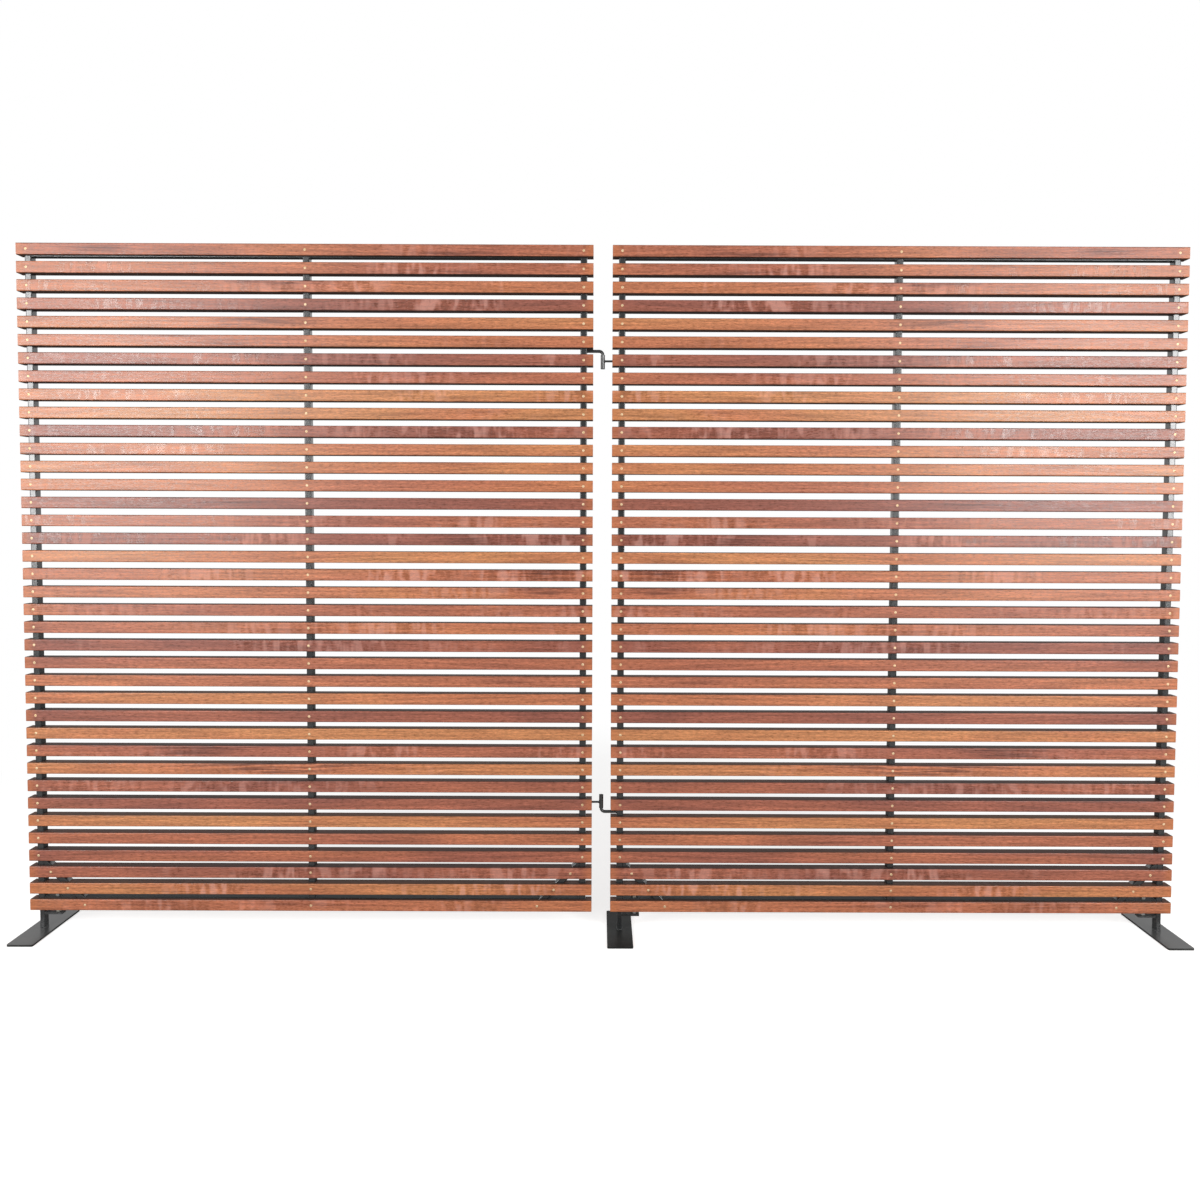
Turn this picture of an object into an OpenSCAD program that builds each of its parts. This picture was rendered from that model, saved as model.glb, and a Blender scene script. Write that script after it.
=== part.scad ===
// Two-panel folding screen: hardwood slats let in over a welded steel tube frame,
// lift-off pin hinges between the panels and levelling feet on flat bar plates.
// +X runs along the panels, the camera side is -Y, +Z is up.
// The origin is on the floor, straight below the hinge line.

/* [Slats] */
// Slats in each panel
slat_count = 38; // [12:1:48]
// Height from one slat to the next
slat_pitch = 54.3; // [46:0.1:70]
// Slats above the lowest one that stand closer together
low_count = 3; // [0:1:6]
// How much closer these slats stand
low_closing = 2.9; // [0:0.1:4]
// Height of a slat's front face
slat_face = 35; // [28:0.5:42]
// Thickness of a slat from front to back
slat_depth = 43; // [36:0.5:50]
// Length of a slat
slat_length = 1733; // [1200:1:2200]
// Rounding of a slat's long edges
slat_edge_radius = 3; // [1:0.5:5]
// Wood left in front of the frame where a slat is notched over it
slat_skin = 13; // [6:0.5:18]
// Slat end standing past the side of the stile
slat_overhang = 19; // [12:0.5:30]
// Play on each side of a tube in its notch
notch_play = 0.3; // [0.1:0.1:0.6]

/* [Frame] */
// Width of the frame tube, seen from the front
tube_width = 20; // [18:0.5:26]
// Depth of the frame tube, front to back
tube_depth = 30; // [26:0.5:36]
// Wall of the frame tube
tube_wall = 2; // [1.5:0.1:2.5]
// Rounding of the frame tube's outer corners
tube_corner = 3; // [2.6:0.1:4]
// Thickness of the flat bar rails
rail_thickness = 3; // [2:0.5:5]
// Distance from the slats' corner to the middle of the brace, along either edge
brace_reach = 186; // [170:1:240]
// Height of the plugs that close the tube ends
plug_height = 6; // [3:0.5:12]
// Play round a plug
plug_play = 0.1; // [0.05:0.05:0.3]

/* [Screws] */
// Diameter of the screw shank
screw_shank = 4; // [3:0.1:5]
// Diameter of the countersunk screw head
screw_head = 8; // [6.5:0.1:9.5]
// Length of a screw
screw_length = 26; // [18:1:32]
// Depth of the screw head below the face of the slat
screw_sink = 0.4; // [0.1:0.1:1]
// Play round the shank in the wood
screw_wood_play = 0.3; // [0.1:0.05:0.5]
// Play round the shank in the tube wall
screw_tube_play = 0.05; // [0.02:0.01:0.1]

/* [Hinges] */
// Clear space between the slat ends of the two panels
panel_gap = 58; // [50:1:80]
// Slats between the edge of the screen and each hinge
hinge_row = 6; // [3:1:9]
// Diameter of the bent hinge pin
pin_diameter = 9.5; // [8:0.1:10.5]
// Radius of the bend at the middle of the pin rod
pin_bend = 11; // [9:0.5:13]
// Outside diameter of the hinge sleeve
sleeve_diameter = 13; // [12.6:0.1:16]
// Length of the hinge sleeve
sleeve_length = 42; // [30:1:60]
// Running play between pin and sleeve, on the radius
pin_play = 0.05; // [0.02:0.01:0.1]
// Play between the bend and the end of the sleeve
sleeve_end_play = 0.5; // [0.2:0.1:1]
// Diameter of the stem that carries the sleeve
stem_diameter = 6.4; // [5:0.1:8]
// Height of the upper pin above the middle of its gap
upper_pin_raise = 3; // [0:0.5:4]

/* [Feet] */
// Height of the lowest slat above the floor
ground_clearance = 66; // [56:1:100]
// Width of the foot plate
plate_width = 78; // [60:1:100]
// Length of the foot plate, front to back
plate_length = 300; // [220:1:420]
// Thickness of the foot plate
plate_thickness = 6; // [5:0.5:10]
// Rounding of the foot plate's corners
plate_corner = 5; // [2:0.5:12]
// Play between the foot post and the inside of the stile
post_play = 0.3; // [0.2:0.05:0.5]
// Wall of the foot post
post_wall = 2; // [1.5:0.1:2.5]
// Rounding of the foot post's outer corners
post_corner = 2.6; // [2.6:0.1:4]
// Length of the foot post inside the stile
post_engagement = 150; // [60:1:155]
// Thickness of the levelling tab
tab_thickness = 6; // [4:0.5:8]
// Depth of the levelling tab, front to back
tab_depth = 25; // [22:0.5:26]
// Levelling tab past the levelling bolt
tab_end = 15; // [12:0.5:20]
// Depth of the tab's top below the slats
tab_drop = 12; // [9:0.5:16]
// Distance from the middle of the stile to the levelling bolt
bolt_offset = 46; // [38:0.5:56]
// Diameter of the levelling bolt
bolt_diameter = 9.9; // [8:0.1:10.5]
// Play round the levelling bolt in the wood, the rail and the tab
bolt_hole_play = 0.5; // [0.3:0.1:1]
// Play between bolt and nut, on the radius
nut_play = 0.05; // [0.02:0.01:0.1]
// Width of a nut across its flats
nut_flats = 17; // [15:0.5:19]
// Height of a nut
nut_height = 8; // [6:0.5:8]
// Bevel on the ends of pins and levelling bolts
rod_bevel = 1; // [0.5:0.1:1.5]
// Levelling bolt below the tab
bolt_tail = 0; // [0:1:24]
// Space between the levelling bolt and the slat above it
bolt_head_room = 1.5; // [0.5:0.5:4]

/* [Hidden] */
$fn = 48;

wood_colour = "sienna";
steel_colour = "dimgray";
brass_colour = "goldenrod";
zinc_colour = "silver";
plug_colour = "black";

// Overshoot that lets a cut run clear of the faces it opens
past = 1;

// Slats are split into this many bundles in each panel, counted from the top
bundle_count = 8;
bundle_size = ceil(slat_count / bundle_count);

// Places along X, for the right-hand panel
slat_start = panel_gap / 2;
slat_end = slat_start + slat_length;
stile_inset = slat_overhang + tube_width / 2;
stile_face = slat_overhang + tube_width;
inner_stile_x = slat_start + stile_inset;
outer_stile_x = slat_end - stile_inset;
middle_stile_x = (inner_stile_x + outer_stile_x) / 2;
stile_places = [inner_stile_x, middle_stile_x, outer_stile_x];

// Places along Y
frame_front = -tube_depth / 2;
slat_front = frame_front - slat_skin;
slat_back = slat_front + slat_depth;

// Heights, counted from the underside of the lowest slat
field_height = slat_z(slat_count - 1) + slat_face;
bottom_rail_z = slat_face;
top_rail_z = field_height - slat_face - rail_thickness;
lower_pin_z = gap_middle(hinge_row);
upper_pin_z = gap_middle(slat_count - hinge_row) + upper_pin_raise;

// Half the height that the sloping brace covers on a plumb or level line
brace_half = tube_width / 2 * sqrt(2);
brace_bore_half = (tube_width / 2 - tube_wall) * sqrt(2);
brace_middle = brace_reach / 2;
brace_notch_half = (tube_width / 2 + notch_play) * sqrt(2);

// Sleeve, measured from the pin rod that goes into it
sleeve_near = pin_bend + sleeve_end_play;
sleeve_far = sleeve_near + sleeve_length;
stem_drop = sleeve_far - sleeve_length * 0.56;
stem_slot = stem_diameter + 2 * bolt_hole_play;
pin_slot = pin_diameter + 2 * bolt_hole_play;

// Feet, with heights from the underside of the lowest slat
plate_top = plate_thickness - ground_clearance;
post_width = tube_width - 2 * tube_wall - 2 * post_play;
post_depth = tube_depth - 2 * tube_wall - 2 * post_play;
bolt_x = stile_inset + bolt_offset;
tab_start = stile_inset + post_width / 2;
tab_length = bolt_x + tab_end - tab_start;
bolt_bottom = -tab_drop - tab_thickness - bolt_tail;
rail_nut_z = bottom_rail_z + rail_thickness;
bolt_top = slat_z(1) - bolt_head_room;
nut_corners = nut_flats / cos(30);
nut_bevel = (nut_corners - nut_flats) / 2 * tan(30);
bolt_hole = bolt_diameter + 2 * bolt_hole_play;

// Corners of each panel that stand on a foot
function foot_corners(side) = side == "left" ? ["outer"] : ["inner", "outer"];

// Height of slat number row, counted from the bottom
function slat_z(row) = row * slat_pitch - min(row, low_count) * low_closing;

// Middle height of slat number row
function slat_middle(row) = slat_z(row) + slat_face / 2;

// Middle height of the gap below slat number row
function gap_middle(row) = (slat_z(row - 1) + slat_face + slat_z(row)) / 2;

// True where the end screw of a slat goes into the brace and not into the stile
function on_brace(row) = slat_middle(row) < brace_reach - stile_face;

// Distance of the end screw from the end of the slat
function end_screw_inset(row) = on_brace(row) ? brace_reach - slat_middle(row) : stile_inset;

// Heights of the end screws that go into a stile
function stile_rows() = [for (row = [0 : slat_count - 1]) if (!on_brace(row)) row];

// Rows of the end screws that go into a brace
function brace_rows() = [for (row = [0 : slat_count - 1]) if (on_brace(row)) row];

// Rows of a bundle, counted from the bottom
function bundle_rows(bundle) = [
    for (count = [(bundle - 1) * bundle_size : bundle * bundle_size - 1])
        if (count < slat_count) slat_count - 1 - count
];

// Draws the right-hand panel's shapes, or their mirror image for the left-hand panel
module on_side(side) {
    if (side == "left") mirror([1, 0, 0]) children();
    else children();
}

// Raises shapes that are measured from the underside of the lowest slat
module above_floor() {
    translate([0, 0, ground_clearance]) children();
}

// Places shapes that are measured from a slat's end inwards, at one end of the panel
module at_corner(corner) {
    if (corner == "inner") translate([slat_start, 0, 0]) children();
    else translate([slat_end, 0, 0]) mirror([1, 0, 0]) children();
}

// Stands an outline drawn in X and Z up, with its thickness along Y
module upright(thickness, middle = 0) {
    translate([0, middle, 0]) rotate([90, 0, 0]) linear_extrude(height = thickness, center = true) children();
}

// Rectangle with rounded corners, from the origin
module rounded_rectangle(width, height, radius) {
    translate([radius, 0]) square([width - 2 * radius, height]);
    translate([0, radius]) square([width, height - 2 * radius]);
    for (x = [radius, width - radius])
        for (y = [radius, height - radius])
            translate([x, y]) circle(r = radius);
}

// Rounded rectangle round the origin
module centred_rectangle(width, height, radius) {
    translate([-width / 2, -height / 2]) rounded_rectangle(width, height, radius);
}

// Section of a rounded tube of even wall, round the origin
module tube_section(width, depth, wall, corner) {
    difference() {
        centred_rectangle(width, depth, corner);
        centred_rectangle(width - 2 * wall, depth - 2 * wall, corner - wall);
    }
}

// Outline of the sloping brace between a stile and the underside of the slats.
// extra lengthens both ends, so that a bore or a notch runs clear.
module brace_outline(half, extra = 0) {
    start = stile_face - extra;
    polygon([
        [start, brace_reach - half - start],
        [start, brace_reach + half - start],
        [brace_reach + half + extra, -extra],
        [brace_reach - half + extra, -extra]
    ]);
}

// Hole along Y for a screw, through the front wall of a tube
module tube_screw_hole() {
    translate([0, frame_front - past, 0])
        rotate([-90, 0, 0]) cylinder(d = screw_shank + 2 * screw_tube_play, h = tube_wall + 2 * past);
}

// One stile, open at both ends
module stile(x, rows) {
    difference() {
        translate([x, 0, 0]) linear_extrude(height = field_height)
            tube_section(tube_width, tube_depth, tube_wall, tube_corner);
        for (row = rows) translate([x, 0, slat_middle(row)]) tube_screw_hole();
    }
}

module outer_stile(side) {
    color(steel_colour) on_side(side) above_floor() stile(outer_stile_x, stile_rows());
}

module middle_stile(side) {
    color(steel_colour) on_side(side) above_floor() stile(middle_stile_x, [0 : slat_count - 1]);
}

module inner_stile(side) {
    color(steel_colour) on_side(side) above_floor() stile(inner_stile_x, stile_rows());
}

// Sloping tube that stiffens a lower corner and takes the screws of the lowest slats
module brace(side, corner) {
    color(steel_colour) on_side(side) above_floor() at_corner(corner) difference() {
        intersection() {
            translate([brace_middle, 0, brace_middle]) rotate([0, -45, 0])
                translate([0, 0, -brace_reach]) linear_extrude(height = 2 * brace_reach)
                    tube_section(tube_width, tube_depth, tube_wall, tube_corner);
            translate([stile_face, -tube_depth, 0])
                cube([2 * brace_reach, 2 * tube_depth, 2 * brace_reach]);
        }
        for (row = brace_rows())
            translate([end_screw_inset(row), 0, slat_middle(row)]) tube_screw_hole();
    }
}

// Flat bar from stile to stile, cut where the middle stile passes through it
module rail_outline(z) {
    difference() {
        translate([inner_stile_x + tube_width / 2, z])
            square([outer_stile_x - inner_stile_x - tube_width, rail_thickness]);
        translate([middle_stile_x - tube_width / 2, z - past])
            square([tube_width, rail_thickness + 2 * past]);
    }
}

module top_rail(side) {
    color(steel_colour) on_side(side) above_floor() upright(tube_depth) rail_outline(top_rail_z);
}

// The bottom rail is also cut at the braces, and bored for the levelling bolts
module bottom_rail(side) {
    color(steel_colour) on_side(side) above_floor() difference() {
        upright(tube_depth) difference() {
            rail_outline(bottom_rail_z);
            translate([slat_start, 0]) brace_outline(brace_half);
            translate([slat_end, 0]) mirror([1, 0]) brace_outline(brace_half);
        }
        for (corner = foot_corners(side))
            at_corner(corner) translate([bolt_x, 0, bottom_rail_z - past])
                cylinder(d = bolt_hole, h = rail_thickness + 2 * past);
    }
}

// Plug inside the end of a stile
module stile_plug(x, z) {
    width = tube_width - 2 * tube_wall - 2 * plug_play;
    depth = tube_depth - 2 * tube_wall - 2 * plug_play;
    translate([x, 0, z]) linear_extrude(height = plug_height)
        centred_rectangle(width, depth, tube_corner - tube_wall);
}

// Plug inside the lower end of a brace, clear of the bore's rounded corners
module brace_plug() {
    upright(tube_depth - 2 * tube_wall - 2 * tube_corner / 3) intersection() {
        brace_outline(brace_bore_half - plug_play * sqrt(2));
        square([2 * brace_reach, plug_height]);
    }
}

// Plugs in every tube end that no foot post goes into
module tube_plugs(side) {
    color(plug_colour) on_side(side) above_floor() {
        for (x = stile_places) stile_plug(x, field_height - plug_height);
        stile_plug(middle_stile_x, 0);
        if (side == "left") stile_plug(inner_stile_x, 0);
        for (corner = ["inner", "outer"]) at_corner(corner) brace_plug();
    }
}

// Countersunk screw, its axis along Y and its head flush below the front of the slat.
// play opens the same shape up into the hole that takes it.
module screw_shape(play, head_play, length) {
    head_height = (screw_head - screw_shank) / 2;
    translate([0, slat_front + screw_sink, 0]) rotate([-90, 0, 0]) {
        cylinder(d = screw_shank + 2 * play, h = length);
        cylinder(d1 = screw_head + 2 * head_play, d2 = screw_shank + 2 * head_play, h = head_height);
    }
}

// Places of the three screws of a slat
module at_screws(row) {
    for (x = [
        slat_start + end_screw_inset(row),
        middle_stile_x,
        slat_end - end_screw_inset(row)
    ]) translate([x, 0, slat_middle(row)]) children();
}

module slat_screws(side) {
    color(brass_colour) on_side(side) above_floor()
        for (row = [0 : slat_count - 1]) at_screws(row) screw_shape(0, 0, screw_length);
}

// Bored and countersunk hole through the skin of a slat, open to the front
module screw_hole() {
    screw_shape(screw_wood_play, screw_tube_play, slat_skin + past);
    translate([0, slat_front + screw_sink + past / 100, 0]) rotate([90, 0, 0])
        cylinder(d = screw_head + 2 * screw_tube_play, h = screw_sink + past);
}

// Notches over the three stiles, open at the back
module stile_notches(row) {
    width = tube_width + 2 * notch_play;
    for (x = stile_places)
        translate([x - width / 2, frame_front, slat_z(row) - past])
            cube([width, slat_back - frame_front + past, slat_face + 2 * past]);
}

// Sloping notches over the braces, open at the back
module brace_notches() {
    depth = slat_back - frame_front + past;
    for (corner = ["inner", "outer"])
        at_corner(corner) upright(depth, frame_front + depth / 2)
            brace_outline(brace_notch_half, slat_overhang / 2);
}

// Slot from the hinge-side end of a slat to its notch, for a hinge rod at height z
module rod_slot(z, width) {
    translate([slat_start - past, -width / 2, z - width / 2])
        cube([slat_overhang + 2 * past, slat_back + width / 2 + past, width]);
}

// Room for a levelling bolt and the nut below the rail
module bolt_room() {
    translate([bolt_x, 0, -past]) cylinder(d = bolt_hole, h = slat_face + 2 * past);
    translate([bolt_x, 0, slat_face - nut_height - bolt_hole_play])
        cylinder(d = nut_corners + 2 * bolt_hole_play, h = nut_height + bolt_hole_play + past);
}

// True where a rod of this height and width meets the slat
function meets_slat(row, z, width) =
    z + width / 2 > slat_z(row) && z - width / 2 < slat_z(row) + slat_face;

module slat(side, row) {
    pin_z = side == "left" ? upper_pin_z : lower_pin_z;
    stem_z = side == "left" ? lower_pin_z + stem_drop : upper_pin_z - stem_drop;
    difference() {
        translate([slat_start, slat_front, slat_z(row)]) rotate([90, 0, 90])
            linear_extrude(height = slat_length)
                rounded_rectangle(slat_depth, slat_face, slat_edge_radius);
        stile_notches(row);
        if (slat_z(row) < brace_reach + brace_notch_half - stile_face) brace_notches();
        at_screws(row) screw_hole();
        if (meets_slat(row, pin_z, pin_slot)) rod_slot(pin_z, pin_slot);
        if (meets_slat(row, stem_z, stem_slot)) rod_slot(stem_z, stem_slot);
        if (row == 0) for (corner = foot_corners(side)) at_corner(corner) bolt_room();
    }
}

module slats(side, bundle) {
    color(wood_colour) on_side(side) above_floor()
        for (row = bundle_rows(bundle)) slat(side, row);
}

// Rod from the stile to the hinge line, bent there to a pin that points down or up
module hinge_pin(side, z, down) {
    color(steel_colour) on_side(side) above_floor() translate([0, 0, z]) mirror([0, 0, down ? 0 : 1]) {
        translate([pin_bend, 0, 0]) rotate([0, 90, 0])
            cylinder(d = pin_diameter, h = slat_start + slat_overhang - pin_bend);
        translate([pin_bend, 0, -pin_bend]) rotate([90, 0, 0]) rotate([0, 0, 90])
            rotate_extrude(angle = 90) translate([pin_bend, 0]) circle(d = pin_diameter);
        translate([0, 0, rod_bevel - sleeve_far])
            cylinder(d = pin_diameter, h = sleeve_far - pin_bend - rod_bevel);
        translate([0, 0, -sleeve_far])
            cylinder(d1 = pin_diameter - 2 * rod_bevel, d2 = pin_diameter, h = rod_bevel);
    }
}

// Sleeve round the pin, from its near to its far end
module hinge_sleeve(side, z, down) {
    color(steel_colour) on_side(side) above_floor() translate([0, 0, z]) mirror([0, 0, down ? 0 : 1])
        translate([0, 0, -sleeve_far]) difference() {
            cylinder(d = sleeve_diameter, h = sleeve_length);
            translate([0, 0, -past]) cylinder(d = pin_diameter + 2 * pin_play, h = sleeve_length + 2 * past);
        }
}

// Thin rod from the sleeve to the stile
module hinge_stem(side, z) {
    color(steel_colour) on_side(side) above_floor() translate([0, 0, z]) difference() {
        rotate([0, 90, 0]) cylinder(d = stem_diameter, h = slat_start + slat_overhang);
        translate([0, 0, -stem_diameter]) cylinder(d = sleeve_diameter, h = 2 * stem_diameter);
    }
}

module foot_plate(side, corner) {
    color(steel_colour) on_side(side) above_floor() at_corner(corner)
        translate([stile_inset, 0, -ground_clearance]) linear_extrude(height = plate_thickness)
            centred_rectangle(plate_width, plate_length, plate_corner);
}

// Square tube that stands on the plate and slides in the stile
module foot_post(side, corner) {
    color(steel_colour) on_side(side) above_floor() at_corner(corner)
        translate([stile_inset, 0, plate_top]) linear_extrude(height = post_engagement - plate_top)
            tube_section(post_width, post_depth, post_wall, post_corner);
}

// Tab on the post that the levelling nut bears on
module foot_tab(side, corner) {
    color(steel_colour) on_side(side) above_floor() at_corner(corner)
        translate([0, 0, -tab_drop - tab_thickness]) difference() {
            translate([tab_start, -tab_depth / 2, 0]) cube([tab_length, tab_depth, tab_thickness]);
            translate([bolt_x, 0, -past]) cylinder(d = bolt_hole, h = tab_thickness + 2 * past);
        }
}

// Turned body that bevels the corners of a nut at both ends
module nut_blank() {
    rotate_extrude() polygon([
        [0, 0],
        [nut_flats / 2, 0],
        [nut_corners / 2, nut_bevel],
        [nut_corners / 2, nut_height - nut_bevel],
        [nut_flats / 2, nut_height],
        [0, nut_height]
    ]);
}

// Six-sided nut, bored for the levelling bolt
module nut() {
    difference() {
        intersection() {
            translate([0, 0, -past]) cylinder(d = nut_corners, h = nut_height + 2 * past, $fn = 6);
            nut_blank();
        }
        translate([0, 0, -past]) cylinder(d = bolt_diameter + 2 * nut_play, h = nut_height + 2 * past);
    }
}

// Levelling nut, on top of the tab
module foot_nut(side, corner) {
    color(zinc_colour) on_side(side) above_floor() at_corner(corner)
        translate([bolt_x, 0, -tab_drop]) nut();
}

// Threaded rod that hangs from the bottom rail through the lowest slat
module foot_bolt(side, corner) {
    color(zinc_colour) on_side(side) above_floor() at_corner(corner) translate([bolt_x, 0, 0]) {
        translate([0, 0, bolt_bottom + rod_bevel])
            cylinder(d = bolt_diameter, h = bolt_top - bolt_bottom - 2 * rod_bevel);
        translate([0, 0, bolt_bottom])
            cylinder(d1 = bolt_diameter - 2 * rod_bevel, d2 = bolt_diameter, h = rod_bevel);
        translate([0, 0, bolt_top - rod_bevel])
            cylinder(d1 = bolt_diameter, d2 = bolt_diameter - 2 * rod_bevel, h = rod_bevel);
    }
}

// Nuts above and below the bottom rail
module rail_nuts(side, corner) {
    color(zinc_colour) on_side(side) above_floor() at_corner(corner) {
        translate([bolt_x, 0, rail_nut_z]) nut();
        translate([bolt_x, 0, bottom_rail_z - nut_height]) nut();
    }
}

outer_stile("left");  // left_outer_stile
middle_stile("left");  // left_middle_stile
inner_stile("left");  // left_inner_stile
top_rail("left");  // left_top_rail
bottom_rail("left");  // left_bottom_rail
brace("left", "outer");  // left_outer_brace
brace("left", "inner");  // left_inner_brace
tube_plugs("left");  // left_tube_plugs
slat_screws("left");  // left_slat_screws
slats("left", 1);  // left_slats_1
slats("left", 2);  // left_slats_2
slats("left", 3);  // left_slats_3
slats("left", 4);  // left_slats_4
slats("left", 5);  // left_slats_5
slats("left", 6);  // left_slats_6
slats("left", 7);  // left_slats_7
slats("left", 8);  // left_slats_8
outer_stile("right");  // right_outer_stile
middle_stile("right");  // right_middle_stile
inner_stile("right");  // right_inner_stile
top_rail("right");  // right_top_rail
bottom_rail("right");  // right_bottom_rail
brace("right", "outer");  // right_outer_brace
brace("right", "inner");  // right_inner_brace
tube_plugs("right");  // right_tube_plugs
slat_screws("right");  // right_slat_screws
slats("right", 1);  // right_slats_1
slats("right", 2);  // right_slats_2
slats("right", 3);  // right_slats_3
slats("right", 4);  // right_slats_4
slats("right", 5);  // right_slats_5
slats("right", 6);  // right_slats_6
slats("right", 7);  // right_slats_7
slats("right", 8);  // right_slats_8
hinge_pin("left", upper_pin_z, true);  // upper_hinge_pin
hinge_sleeve("right", upper_pin_z, true);  // upper_hinge_sleeve
hinge_stem("right", upper_pin_z - stem_drop);  // upper_hinge_stem
hinge_pin("right", lower_pin_z, false);  // lower_hinge_pin
hinge_sleeve("left", lower_pin_z, false);  // lower_hinge_sleeve
hinge_stem("left", lower_pin_z + stem_drop);  // lower_hinge_stem
foot_plate("left", "outer");  // left_foot_plate
foot_post("left", "outer");  // left_foot_post
foot_tab("left", "outer");  // left_foot_tab
foot_nut("left", "outer");  // left_foot_nut
foot_bolt("left", "outer");  // left_foot_bolt
rail_nuts("left", "outer");  // left_rail_nuts
foot_plate("right", "inner");  // middle_foot_plate
foot_post("right", "inner");  // middle_foot_post
foot_tab("right", "inner");  // middle_foot_tab
foot_nut("right", "inner");  // middle_foot_nut
foot_bolt("right", "inner");  // middle_foot_bolt
rail_nuts("right", "inner");  // middle_rail_nuts
foot_plate("right", "outer");  // right_foot_plate
foot_post("right", "outer");  // right_foot_post
foot_tab("right", "outer");  // right_foot_tab
foot_nut("right", "outer");  // right_foot_nut
foot_bolt("right", "outer");  // right_foot_bolt
rail_nuts("right", "outer");  // right_rail_nuts
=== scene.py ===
"""Looks of a freestanding slatted screen: hardwood slats let in over a black steel frame.

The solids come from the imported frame. This script dresses them and adds what is too fine
for them: the driven slat screws, the rolled threads of the levelling rods and the welds.
"""

import logging
import math
import random
from dataclasses import dataclass, field
from enum import Enum
from functools import partial
from typing import Any, Callable, Iterable, Optional, Sequence

import bpy
from bpy.types import Material, MeshPolygon, Node, NodeSocket, NodeTree, Object, World
from mathutils import Euler, Matrix, Vector


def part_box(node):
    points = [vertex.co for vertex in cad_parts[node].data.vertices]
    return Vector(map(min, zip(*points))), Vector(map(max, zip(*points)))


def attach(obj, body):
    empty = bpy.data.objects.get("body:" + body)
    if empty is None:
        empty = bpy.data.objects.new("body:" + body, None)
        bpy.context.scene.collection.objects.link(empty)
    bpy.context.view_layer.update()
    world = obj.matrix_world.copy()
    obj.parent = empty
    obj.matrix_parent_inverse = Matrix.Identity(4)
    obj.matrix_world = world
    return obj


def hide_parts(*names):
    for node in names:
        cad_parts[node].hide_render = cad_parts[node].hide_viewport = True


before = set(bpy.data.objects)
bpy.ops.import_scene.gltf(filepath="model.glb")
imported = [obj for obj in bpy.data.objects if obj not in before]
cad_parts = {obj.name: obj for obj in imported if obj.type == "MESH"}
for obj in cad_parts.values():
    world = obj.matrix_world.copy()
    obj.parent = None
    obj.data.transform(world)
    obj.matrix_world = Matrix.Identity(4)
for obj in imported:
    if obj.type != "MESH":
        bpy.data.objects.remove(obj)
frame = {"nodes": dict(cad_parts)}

LOG = logging.getLogger("screen")
MM = 0.001
AddNode = Callable[..., Node]


class Side(Enum):
    """The two panels, with the sign of their X."""

    LEFT = -1
    RIGHT = 1

    @property
    def word(self) -> str:
        """The panel's word in the node names."""
        return self.name.lower()

    @property
    def body(self) -> str:
        """The body that the panel's pieces ride on."""
        return f"{self.word}_panel"


class Corner(Enum):
    """The two lower corners of a panel."""

    INNER = "inner"
    OUTER = "outer"


class Level(Enum):
    """The two hinges between the panels."""

    UPPER = "upper"
    LOWER = "lower"


class Slot(Enum):
    """The material slots of the record."""

    HARDWOOD = "hardwood"
    FRAME = "frame_coating"
    PLATE = "plate_coating"
    BRASS = "brass"
    ZINC = "zinc_plate"
    PLASTIC = "black_plastic"


@dataclass(frozen=True)
class ScreenSizes:
    """Sizes of the screen in metres, the same as in the part's source."""

    rows: int = 38
    pitch: float = 54.3 * MM
    low_count: int = 3
    low_closing: float = 2.9 * MM
    face: float = 35 * MM
    length: float = 1733 * MM
    front: float = -28 * MM
    gap: float = 58 * MM
    overhang: float = 19 * MM
    tube_width: float = 20 * MM
    rail: float = 3 * MM
    brace_reach: float = 186 * MM
    ground: float = 66 * MM
    plate: float = 6 * MM
    rod_radius: float = 4.75 * MM
    sleeve_radius: float = 6.3 * MM

    @property
    def field_height(self) -> float:
        """Height of the slats from the lowest underside to the highest top."""
        return self.row_floor(self.rows - 1) + self.face

    @property
    def inset(self) -> float:
        """Distance from a slat's end to the middle of its stile."""
        return self.overhang + self.tube_width / 2

    @property
    def stile_face(self) -> float:
        """Distance from a slat's end to the inward side of its stile."""
        return self.overhang + self.tube_width

    @property
    def centre(self) -> float:
        """Distance from the hinge line to the middle of a slat."""
        return self.gap / 2 + self.length / 2

    def from_end(self, side: Side, corner: Corner, distance: float) -> float:
        """Finds the X of a place measured from the end of a slat.

        Args:
            side: The panel.
            corner: The end that is measured from.
            distance: How far in from that end.

        Returns:
            The place's X in the row frame.
        """
        start = self.gap / 2
        along = start + distance if corner is Corner.INNER else start + self.length - distance
        return side.value * along

    def row_floor(self, row: int) -> float:
        """Height of a slat's underside above the lowest one's, counted from the bottom."""
        return row * self.pitch - min(row, self.low_count) * self.low_closing

    def row_middle(self, row: int) -> float:
        """Height of the middle of a slat above the floor."""
        return self.ground + self.row_floor(row) + self.face / 2

    def end_inset(self, row: int) -> float:
        """Finds how far a slat's end screw is from the slat's end, in the stile or the brace.

        Args:
            row: The slat's row, counted from the bottom.

        Returns:
            The distance.
        """
        height = self.row_floor(row) + self.face / 2
        on_brace = height < self.brace_reach - self.stile_face
        return self.brace_reach - height if on_brace else self.inset


SIZES = ScreenSizes()


# ---------------- nodes


def linear(code: str) -> tuple[float, float, float, float]:
    """Turns an sRGB hex colour into Blender's linear colour.

    Args:
        code: Six hex digits.

    Returns:
        Red, green, blue and an alpha of 1.
    """
    channels = [int(code[i : i + 2], 16) / 255 for i in (0, 2, 4)]
    red, green, blue = (
        c / 12.92 if c <= 0.04045 else ((c + 0.055) / 1.055) ** 2.4 for c in channels
    )
    return (red, green, blue, 1.0)


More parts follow.
